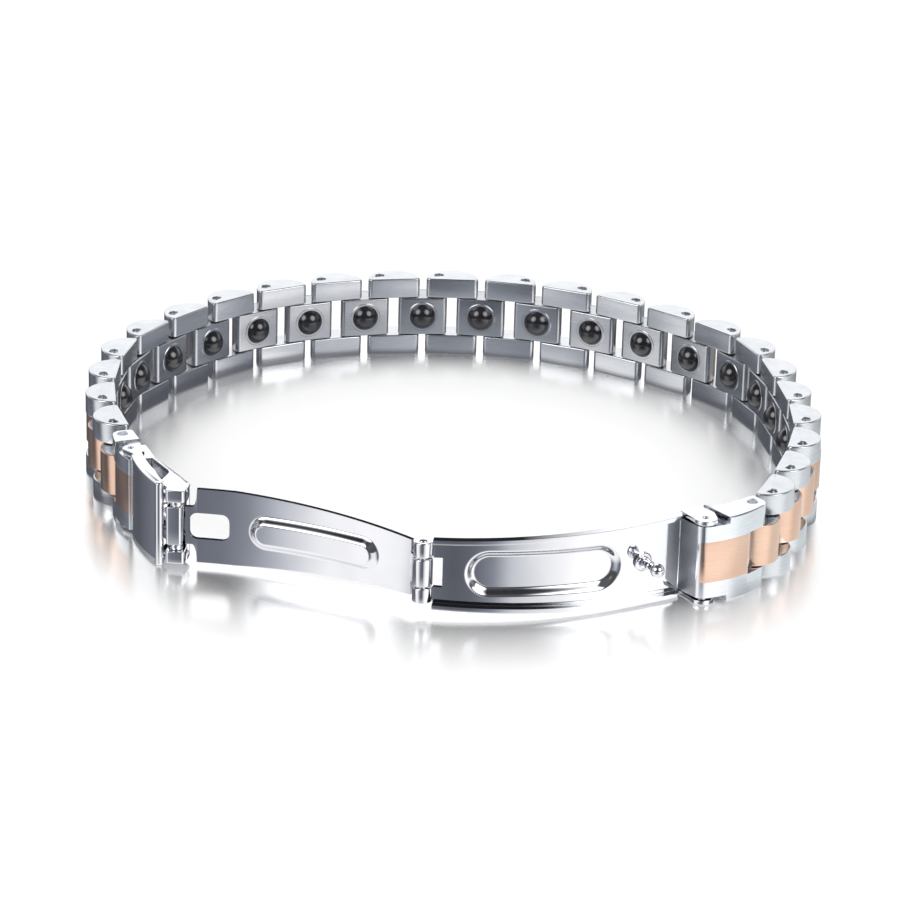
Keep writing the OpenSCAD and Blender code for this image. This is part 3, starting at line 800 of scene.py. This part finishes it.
ear_low = rounded([(-LONG_EAR_R, -LONG_DROP * 0.4), (0, -LONG_DROP - SHEET_T / 2),
                   (LIP_FROM, -LONG_DROP * 0.75), (LONG_EAR_R, FAR), (-LONG_EAR_R, FAR)],
                  [0.4, 0.15, 0.6, 0.1, 0.1])[:3 * CORNER_STEPS]
ear = ear_part(np.concatenate([ear_low, arc((0, 0), LONG_EAR_R, 0, 180, 24)]), (0, 0))
knuckle_top = fold_outer_z + FOLD_OUTER_H
knuckle = post((long_span, 0), BARREL_R, fold_outer_z, knuckle_top - SPLIT, BARREL_EDGE)
tab = box_part((long_span - BARREL_R - TAB_IN, -SHEET_T / 2, fold_outer_z + TAB_GAP),
               (long_span - TAB_REACH, TAB_OUT, knuckle_top - TAB_GAP))
rolled = joined([ear, turned_over(ear), knuckle, turned_over(knuckle), tab, turned_over(tab)])
on_clasp = axes_between(RIGHT_PIN, FOLD_PIN)
piece("long_blade_sheet", placed(plate, *on_clasp), shaded_sheet_steel, "steel", "long_blade")
piece("long_blade_ears", placed(rolled, *on_clasp), mirror_steel, "steel")

# Stud
# It is turned from steel and riveted to the long blade: a stepped foot, a neck with a ring, and a
# round head that snaps into the grip of the catch. The foot's profile has rows of radius and height.

STUD_AT = 6.9
STUD_HEAD_R = 0.8
STUD_NECK_R = 0.42
STUD_REACH = 3.1
STUD_LEAN = 4.5
STUD_FOOT = [(STUD_NECK_R, 0.1), (1.12, 0.2), (1.12, 0.4), (1.06, 0.46), (0.98, 0.48), (0.94, 0.44),
             (0.7, 0.44), (0.66, 0.47), (0.66, 0.85), (0.6, 0.91), (STUD_NECK_R, 0.93),
             (STUD_NECK_R, 1.45), (0.56, 1.49), (0.6, 1.54), (0.6, 1.66), (0.56, 1.71),
             (STUD_NECK_R, 1.75)]

neck_turn = np.pi - np.arcsin(STUD_NECK_R / STUD_HEAD_R)
head_turn = np.linspace(neck_turn, TINY, 20)
head = np.stack([STUD_HEAD_R * np.sin(head_turn), STUD_REACH + STUD_HEAD_R * np.cos(head_turn)], -1)
turned_stud = spun(np.concatenate([STUD_FOOT, head]))
foot = on_bow(long_middle, LONG_BOW_R, np.array(STUD_AT), 0.0, np.array(MID_Z))
stud_turn = np.arcsin((STUD_AT - long_middle[0]) / LONG_BOW_R) - np.radians(STUD_LEAN)
_, clasp_along, clasp_out = on_clasp
stud_out = clasp_along * np.sin(stud_turn) + clasp_out * np.cos(stud_turn)
stud_along = clasp_along * np.cos(stud_turn) - clasp_out * np.sin(stud_turn)
stud_origin = RIGHT_PIN + (clasp_along * foot[0] + clasp_out * foot[1] + UP * foot[2]) * MM
stud = placed(turned_stud, stud_origin, stud_along, -UP, stud_out)
piece("turned_stud", stud, mirror_steel, "steel", "stud")

# Short blade
# It is the outer blade, pressed from the same sheet. Its oval channel stands out, a window lets the
# stud through, and it narrows to a neck whose squared knuckle hangs in the catch.

SHORT_BOW_R = 47
SHORT_INSET = 1.75
WIDE_INSET = 0.6
SHORT_WIDE_AT = 0.78
NECK_H = 4.5
NECK_LEN = 1.95
WINDOW_LEN = 4.35
WINDOW_H = 3.1
WINDOW_AT = 1.45
WINDOW_R = 0.85
WINDOW_ROWS = 9
WINDOW_CORNER = np.array([0.03, 0.13, 0.3, 0.5, 0.75])
SHORT_CHANNEL_AT = 13.5
SHORT_CHANNEL_LEN = 15.9
SHORT_CHANNEL_H = 4.1
SHORT_CHANNEL_WALL = 1.0
BACK_NARROWER = 0.4
FOLD_CLEAR = 0.35
SHOULDER_LEN = 0.5
KNUCKLE_W = 2.2
KNUCKLE_R = 0.4
KNUCKLE_LEAN = 14
KNUCKLE_EDGE = 0.12
INNER_SHARE = 0.8
INNER_SHIFT = 0.2

short_span = np.linalg.norm(CATCH_PIN - FOLD_PIN) / MM
short_middle = (short_span / 2, np.sqrt(SHORT_BOW_R ** 2 - (short_span / 2) ** 2))
window = short_span - WINDOW_AT - np.array([WINDOW_LEN, 0])
shoulder = short_span - NECK_LEN
body_x = BARREL_R + FOLD_CLEAR
x = np.concatenate([np.arange(BARREL_R - 0.1, short_span - KNUCKLE_W / 2 + 0.2, CELL), window,
                    window[0] + WINDOW_R * WINDOW_CORNER, window[1] - WINDOW_R * WINDOW_CORNER,
                    [body_x, body_x - HOLD],
                    np.linspace(shoulder - SHOULDER_LEN / 2, shoulder + SHOULDER_LEN / 2, 14)])
x = np.unique(np.round(x, 4))
half_h = MID_Z - np.interp(x, [body_x, short_span * SHORT_WIDE_AT], [SHORT_INSET, WIDE_INSET])
fillet = np.clip(0.5 - (x - shoulder) / SHOULDER_LEN, 0, 1)
half_h = NECK_H / 2 + (half_h - NECK_H / 2) * (1 - np.sqrt(1 - fillet ** 2))
half_h[x < body_x - HOLD / 2] = FOLD_MID_H / 2
from_end = np.clip(np.minimum(x - window[0], window[1] - x), 0, WINDOW_R)
open_h = WINDOW_H / 2 - WINDOW_R + np.sqrt(WINDOW_R ** 2 - (WINDOW_R - from_end) ** 2)
inner_rows = np.linspace(0, 1, WINDOW_ROWS)[:, None] * open_h
outer_rows = open_h + np.linspace(0, 1, 34)[1:, None] * (half_h - open_h)
z = np.concatenate([inner_rows, outer_rows])
z = np.concatenate([-z[:0:-1], z])
grid_x = np.broadcast_to(x, z.shape)
proud = CHANNEL_DEPTH * channel_form(grid_x, z, SHORT_CHANNEL_AT, SHORT_CHANNEL_LEN,
                                     SHORT_CHANNEL_H, SHORT_CHANNEL_WALL)
proud_back = CHANNEL_DEPTH * channel_form(grid_x, z, SHORT_CHANNEL_AT, SHORT_CHANNEL_LEN - BACK_NARROWER,
                                          SHORT_CHANNEL_H - BACK_NARROWER, SHORT_CHANNEL_WALL)
sag = CROSS_BOW * (z / half_h) ** 2
front = bowed(short_middle, -SHORT_BOW_R, grid_x, SHEET_T / 2 + proud - sag, z)
back = bowed(short_middle, -SHORT_BOW_R, grid_x, proud_back - sag - SHEET_T / 2, z)
row = np.arange(z.shape[0] - 1) + 0.5 - (z.shape[0] - 1) / 2
middle_x = (x[:-1] + x[1:]) / 2
in_window = (middle_x > window[0]) & (middle_x < window[1])
hole = in_window[:, None] & (np.abs(row) < WINDOW_ROWS - 1)
plate = reworked(sheet_part(front, back, ~hole), bevel=SHEET_BEVEL)
barrel = post((0, 0), BARREL_R, fold_mid_z + SPLIT, fold_mid_z + FOLD_MID_H - SPLIT, BARREL_EDGE)
square = KNUCKLE_W / 2
lean = np.radians(KNUCKLE_LEAN)
turned = np.array([[np.cos(lean), np.sin(lean)], [-np.sin(lean), np.cos(lean)]])
corners = np.array([(-square, -square), (square, -square), (square, square), (-square, square)])
knuckle_plan = rounded(corners @ turned + [short_span, 0], [KNUCKLE_R] * 4)
inner_plan = knuckle_plan.copy()
inner_plan[:, 0] -= [short_span, 0]
inner_plan[:, 0] = inner_plan[:, 0] * INNER_SHARE + [short_span + INNER_SHIFT, 0]
knuckle = loft(bar_rings(inner_plan, MID_Z - NECK_H / 2, MID_Z + NECK_H / 2, KNUCKLE_EDGE))
on_short = axes_between(FOLD_PIN, CATCH_PIN)
piece("short_blade_sheet", placed(plate, *on_short), shaded_sheet_steel, "steel", "short_blade")
piece("short_blade_knuckles", placed(joined([barrel, knuckle]), *on_short), mirror_steel, "steel")

# Catch
# The cover is the plate that shows when the clasp is shut: bent from sheet, with two side walls, a
# rolled edge to lift it by and ears on the end link's pin. The frame sits inside it and holds the
# grip for the stud between two cheeks; its knuckles carry the short blade.

COVER_BOW_R = 26
COVER_FROM = 1.05
COVER_OUT = 1.6
COVER_TAIL_OUT = 0.5
COVER_CLEAR = 0.38
COVER_WALL = 1.3
WALL_DROP = 0.5
WALL_FROM = 5
WALL_RUN = 4
ROLL_R = 0.5
ROLL_EDGE = 0.2
EAR_ROOT = 1.6
EAR_FOOT_IN = 0.9
EAR_FOOT_OUT = 0.55
FRAME_DEPTH = 2
FRAME_FROM = 0.6
FRAME_CLEAR = 1.2
CHEEK_OUT = 0.9
CHEEK_LEN = 2.4
CATCH_OUTER_H = 1.4
GRIP_R = 0.8
GRIP_X = 5.3
SLIT_LEN = 4
SLIT_W = 0.4
WASHER_R = 0.7
WASHER_GAP = 0.05
WASHER_EDGE = 0.1

cover_span = np.linalg.norm(LEFT_PIN - CATCH_PIN) / MM
cover_end = cover_span - NOSE_R - COVER_CLEAR
cover_middle = arc_middle((COVER_FROM, COVER_OUT), (cover_end, COVER_TAIL_OUT), COVER_BOW_R)
x = np.concatenate([np.arange(COVER_FROM, cover_end, CELL), np.arange(cover_end, cover_span, CELL)])
wall = COVER_WALL - SHEET_T / 2 - WALL_DROP * eased((WALL_FROM - x) / WALL_RUN)
half_h = np.full(len(x), MID_Z - EDGE_GAP)
section = lipped(half_h, wall, LIP_BEND, flat_steps=24, lip_steps=6)
z, out, front_z, front_out = mirrored_across(*section)
grid_x = np.broadcast_to(x, z.shape)
shift_z = front_z * SHEET_T / 2
shift_out = front_out * SHEET_T / 2
front = bowed(cover_middle, COVER_BOW_R, grid_x, shift_out - out, z - shift_z)
back = bowed(cover_middle, COVER_BOW_R, grid_x, -out - shift_out, z + shift_z)
middle_z = (z[:-1] + z[1:]).T[:-1] / 2
in_wall = np.abs(middle_z) > MID_Z - EDGE_GAP - SHEET_T / 2 - HOLD / 2
keep = (x[:-1] < cover_end - HOLD / 2)[:, None] | in_wall
plate = reworked(sheet_part(front, back, keep), bevel=SHEET_BEVEL)
roll = post((COVER_FROM, COVER_OUT), ROLL_R, EDGE_GAP, BAND_W - EDGE_GAP, ROLL_EDGE)
ear = np.concatenate([[((-EAR_ROOT, -EAR_FOOT_IN), (0, -1))], arc((0, 0), EAR_R, -90, 90, 24),
                      [((-EAR_ROOT, EAR_FOOT_OUT), (0, 1))]])
ear[:, 0, 0] += cover_span
ear = ear_part(ear, (cover_span, 0))
on_catch = axes_between(CATCH_PIN, LEFT_PIN)
cover = joined([plate, roll, ear, turned_over(ear)])
piece("cover_sheet", placed(cover, *on_catch), mirror_steel, "steel", "catch_cover")

frame_z = EDGE_GAP + SHEET_T + GAP
frame_top = SHEET_T - FRAME_DEPTH
plate_end = cover_span - NOSE_R - FRAME_CLEAR
cheek_plan = rounded([(-FRAME_FROM, -KNUCKLE_W / 2), (FRAME_FROM, -FRAME_DEPTH),
                      (plate_end, -FRAME_DEPTH), (plate_end, frame_top), (plate_end / 2, frame_top),
                      (CHEEK_LEN, CHEEK_OUT), (0, CHEEK_OUT)], [0.2, 0.2, 0.2, 0.2, 1.5, 0.5, 0.3])
cheek = loft(bar_rings(cheek_plan, frame_z, frame_z + SHEET_T, EAR_EDGE))
inner_plan = rounded([(FRAME_FROM, -FRAME_DEPTH), (plate_end, -FRAME_DEPTH),
                      (plate_end, frame_top), (FRAME_FROM, frame_top)], [0.1] * 4)
inner = loft(bar_rings(inner_plan, frame_z, BAND_W - frame_z, 0.1))
grip_points, grip_faces = post((0, 0), GRIP_R, -FAR, FAR)
lying = np.array([[1, 0, 0], [0, 0, 1], [0, -1, 0]])
grip = grip_points @ lying + [GRIP_X, 0, MID_Z], grip_faces
slit = box_part((GRIP_X - SLIT_LEN / 2, -FAR, MID_Z + GRIP_R + SLIT_W),
                (GRIP_X + SLIT_LEN / 2, FAR, MID_Z + GRIP_R + 2 * SLIT_W))
inner = reworked(inner, grip, slit, turned_over(slit))
frame_part = joined([cheek, turned_over(cheek), inner])
piece("frame_sheet", placed(frame_part, *on_catch), mirror_steel, "steel", "catch_frame")
knuckle = loft(bar_rings(knuckle_plan, frame_z - PROUD, frame_z + CATCH_OUTER_H, KNUCKLE_EDGE))
knuckles = joined([knuckle, turned_over(knuckle)])
piece("frame_knuckles", placed(knuckles, *on_short), mirror_steel, "steel")
washer = post((short_span, 0), WASHER_R, frame_z + CATCH_OUTER_H + WASHER_GAP,
              MID_Z - NECK_H / 2 - WASHER_GAP, WASHER_EDGE)
washers = joined([washer, turned_over(washer)])
piece("catch_washers", placed(washers, *on_short), mirror_steel, "steel")

# Clasp pins
# Each is a piece of polished steel wire pressed through its knuckles or ears. The fold's pin has a
# small round head at each end.

CLASP_PIN_R = 0.5
PIN_LOW = 0.15
PIN_HEAD_R = 0.52
PIN_HEAD_H = 0.18

for node, low in (("left_end_pin", PIN_LOW), ("right_end_pin", PIN_LOW), ("catch_pin", frame_z)):
    wire = post((0, 0), CLASP_PIN_R, low, BAND_W - low)
    piece(node + "_wire", placed(wire, pin_place(node), *on_clasp[1:]), mirror_steel, "steel", node)
head_turn = np.radians(np.linspace(90, 1, 8))
head_z = BAND_W - fold_outer_z
head = np.stack([PIN_HEAD_R * np.sin(head_turn), head_z + PIN_HEAD_H * np.cos(head_turn)], -1)
rivet = spun(np.concatenate([[(CLASP_PIN_R, MID_Z), (CLASP_PIN_R, head_z)], head]), 32)
rivet = joined([rivet, turned_over(rivet)])
piece("fold_rivet", placed(rivet, FOLD_PIN, *on_clasp[1:]), mirror_steel, "steel", "fold_pin")

# Stage and light
# A pale glossy table in a white tent, not part of the bracelet. Metal sees dark and bright stretches
# of the tent and two soft lamps in it, and through the table's top two cards and a dark ring; the ring
# is painted shade on the links' lowest parts.

CAMERA_PLACE = (-0.00006, -0.45047, 0.18697)
CAMERA_DOWN = 22.25
CAMERA_ROLL = 1.62
LENS = 165.68
SENSOR = 36
LAMPS = [(-0.62, -0.5, 0.6), (0.62, -0.5, 0.6)]
LAMP_EDGE = (0.9, 0.99)
LAMP_LIGHT = (4, 4, 4, 1)
TENT_LIGHT = (1.32, 1.32, 1.32, 1)
# Light round the tent, by the share of a turn from behind over the left, the front and the right.
LOW_SIDE = [(0.00, 1.0), (0.02, 0.3), (0.05, 0.12), (0.11, 0.11), (0.17, 0.22), (0.23, 0.12),
            (0.262, 0.15), (0.28, 0.6), (0.295, 1.1), (0.33, 1.2), (0.36, 1.1), (0.39, 0.72),
            (0.405, 0.48), (0.418, 0.32), (0.435, 0.22), (0.46, 0.18), (0.485, 0.13), (0.503, 0.16),
            (0.522, 0.3), (0.539, 0.72), (0.571, 1.05), (0.60, 1.3), (0.66, 1.5), (0.70, 1.2),
            (0.72, 0.55), (0.74, 0.25), (0.77, 0.14), (0.83, 0.2), (0.88, 0.08), (0.95, 0.08),
            (0.975, 0.3), (1.00, 1.0)]
HIGH_SIDE = [(0.00, 1.45), (0.14, 1.35), (0.24, 0.5), (0.32, 0.09), (0.68, 0.09), (0.76, 0.5),
             (0.86, 1.35), (1.00, 1.45)]
HIGH_FROM = (-0.05, 0.12)
FLOOR_LIGHT = (1.15, 1.15, 1.15, 1)
FLOOR_FROM = (-0.42, -0.8)
TOP_LIGHT = (0.12, 0.125, 0.14, 1)
TOP_FROM = (0.45, 0.62)
TABLE_HALF = 3
SHINE_SHARE = 0.85
PALE_CARD_SHARE = 0.7
GREY_CARD_SHARE = 0.6
RING_SHARE = 0.8
# Stretches of the table in metres, each from where something starts to where it is there in full.
SHINE_IN = (0.029, 0.038)
SHINE_OUT = (0.061, 0.042)
PALE_CARD_OUT = (0.039, 0.041)
PALE_CARD_RIGHT = (0.03, 0.038)
PALE_CARD_TONE = (-0.015, 0.03, 1.3, 0.5)
GREY_CARD_IN = (0.04, 0.038)
GREY_CARD_LEFT = (-0.021, -0.016)
GREY_CARD_RIGHT = (0.013, 0.006)
GREY_CARD_BACK = (0.016, 0.022)
GREY = (0.45, 0.47, 0.52, 1)
RING_IN = (0.0372, 0.0384)
RING_OUT = (0.0455, 0.0435)
RING_BACK = (-0.025, -0.015)
RING_PAINTED_SHADE = (0.12, 0.12, 0.14, 1)


def mixed(finish, share, first, second):
    """The first colour, with the share of the second in it."""
    return finish.node("Mix", {"data_type": "RGBA"}, output=2, i0=share, i6=first, i7=second)


def cooled(light):
    """Colour of that light: the darker it is, the nearer its red is to 0.93 times it and its blue to
    1.2 times it, and at 1 it is plain grey."""
    return light * (0.93 + 0.07 * light), light, light * (1.2 - 0.2 * min(light, 1)), 1


surroundings = bpy.data.worlds.new("tent")
bpy.context.scene.world = surroundings
tent = Finish(surroundings)
direction = tent.node("TexCoord", output=0)
x, y, z = (tent.node("SeparateXYZ", output=axis, Vector=direction) for axis in range(3))
round_way = x.maths("ARCTAN2", x, y * -1.0) / (2 * np.pi) + 0.5
cool_side = [(place, cooled(light)) for place, light in LOW_SIDE]
low_side = tent.node("ValToRGB", {"stops": cool_side}, Fac=round_way)
high_side = tent.node("ValToRGB", {"stops": HIGH_SIDE}, Fac=round_way)
sky = mixed(tent, between(tent, z, *HIGH_FROM, kind=EASED), low_side, high_side)
sky = mixed(tent, between(tent, z, *FLOOR_FROM, kind=EASED), sky, FLOOR_LIGHT)
sky = mixed(tent, between(tent, z, *TOP_FROM, kind=EASED), sky, TOP_LIGHT)
for lamp in LAMPS:
    near = tent.node("VectorMath", {"operation": "DOT_PRODUCT"}, 1, i0=direction, i1=lamp)
    sky = mixed(tent, between(tent, near, *LAMP_EDGE, kind=EASED), sky, LAMP_LIGHT)
light = mixed(tent, tent.node("LightPath", output=3), TENT_LIGHT, sky)
tent.node("OutputWorld", Surface=tent.node("Background", Color=light, Strength=1.0))

floor_mesh = bpy.data.meshes.new("table")
corners = [(-TABLE_HALF, -TABLE_HALF, 0), (TABLE_HALF, -TABLE_HALF, 0),
           (TABLE_HALF, TABLE_HALF, 0), (-TABLE_HALF, TABLE_HALF, 0)]
floor_mesh.from_pydata(corners, [], [(0, 1, 2, 3)])
table = bpy.data.objects.new("table", floor_mesh)
bpy.context.scene.collection.objects.link(table)
gloss = bpy.data.materials.new("table")
top = Finish(gloss)
spot = top.node("TexCoord", output=3)
from_middle = top.node("VectorMath", {"operation": "LENGTH"}, 1, i0=spot)
right, back = (top.node("SeparateXYZ", output=axis, Vector=spot) for axis in range(2))
near = between(top, from_middle, *SHINE_IN) * between(top, from_middle, *SHINE_OUT)
white = top.node("BsdfPrincipled", Base_Color=(0.88, 0.88, 0.88, 1), Roughness=0.5, IOR=1.3)
mirror = top.node("BsdfPrincipled", Base_Color=(0.9, 0.9, 0.9, 1), Roughness=0.2, Metallic=1.0)
shine = blended(top, near * near * SHINE_SHARE, white, mirror)
place = between(top, from_middle, *PALE_CARD_OUT) * between(top, right, *PALE_CARD_RIGHT)
tone = between(top, back, *PALE_CARD_TONE)
card = top.node("Emission", Color=top.node("CombineColor", i0=tone * 0.96, i1=tone, i2=tone * 0.99))
beneath = blended(top, place * PALE_CARD_SHARE, top.node("BsdfTransparent"), card)
place = (between(top, from_middle, *GREY_CARD_IN) * between(top, right, *GREY_CARD_LEFT)
         * between(top, right, *GREY_CARD_RIGHT) * between(top, back, *GREY_CARD_BACK))
beneath = blended(top, place * GREY_CARD_SHARE, beneath, top.node("Emission", Color=GREY))
# Painted shade: a dark ring under the links, which their lower parts reflect as contact shadow.
place = (between(top, from_middle, *RING_IN) * between(top, from_middle, *RING_OUT)
         * between(top, back, *RING_BACK))
beneath = blended(top, place * RING_SHARE, beneath, top.node("Emission", Color=RING_PAINTED_SHADE))
seen = blended(top, top.node("LightPath", output=3), shine, beneath)
top.node("OutputMaterial", Surface=seen)
floor_mesh.materials.append(gloss)

lens = bpy.data.cameras.new("camera")
lens.lens = LENS
lens.sensor_width = SENSOR
camera = bpy.data.objects.new("camera", lens)
bpy.context.scene.collection.objects.link(camera)
camera.matrix_world = (Matrix.Translation(CAMERA_PLACE)
                       @ Matrix.Rotation(np.radians(90 - CAMERA_DOWN), 4, "X")
                       @ Matrix.Rotation(np.radians(CAMERA_ROLL), 4, "Z"))
bpy.context.scene.camera = camera
bpy.context.scene.view_settings.view_transform = "Standard"
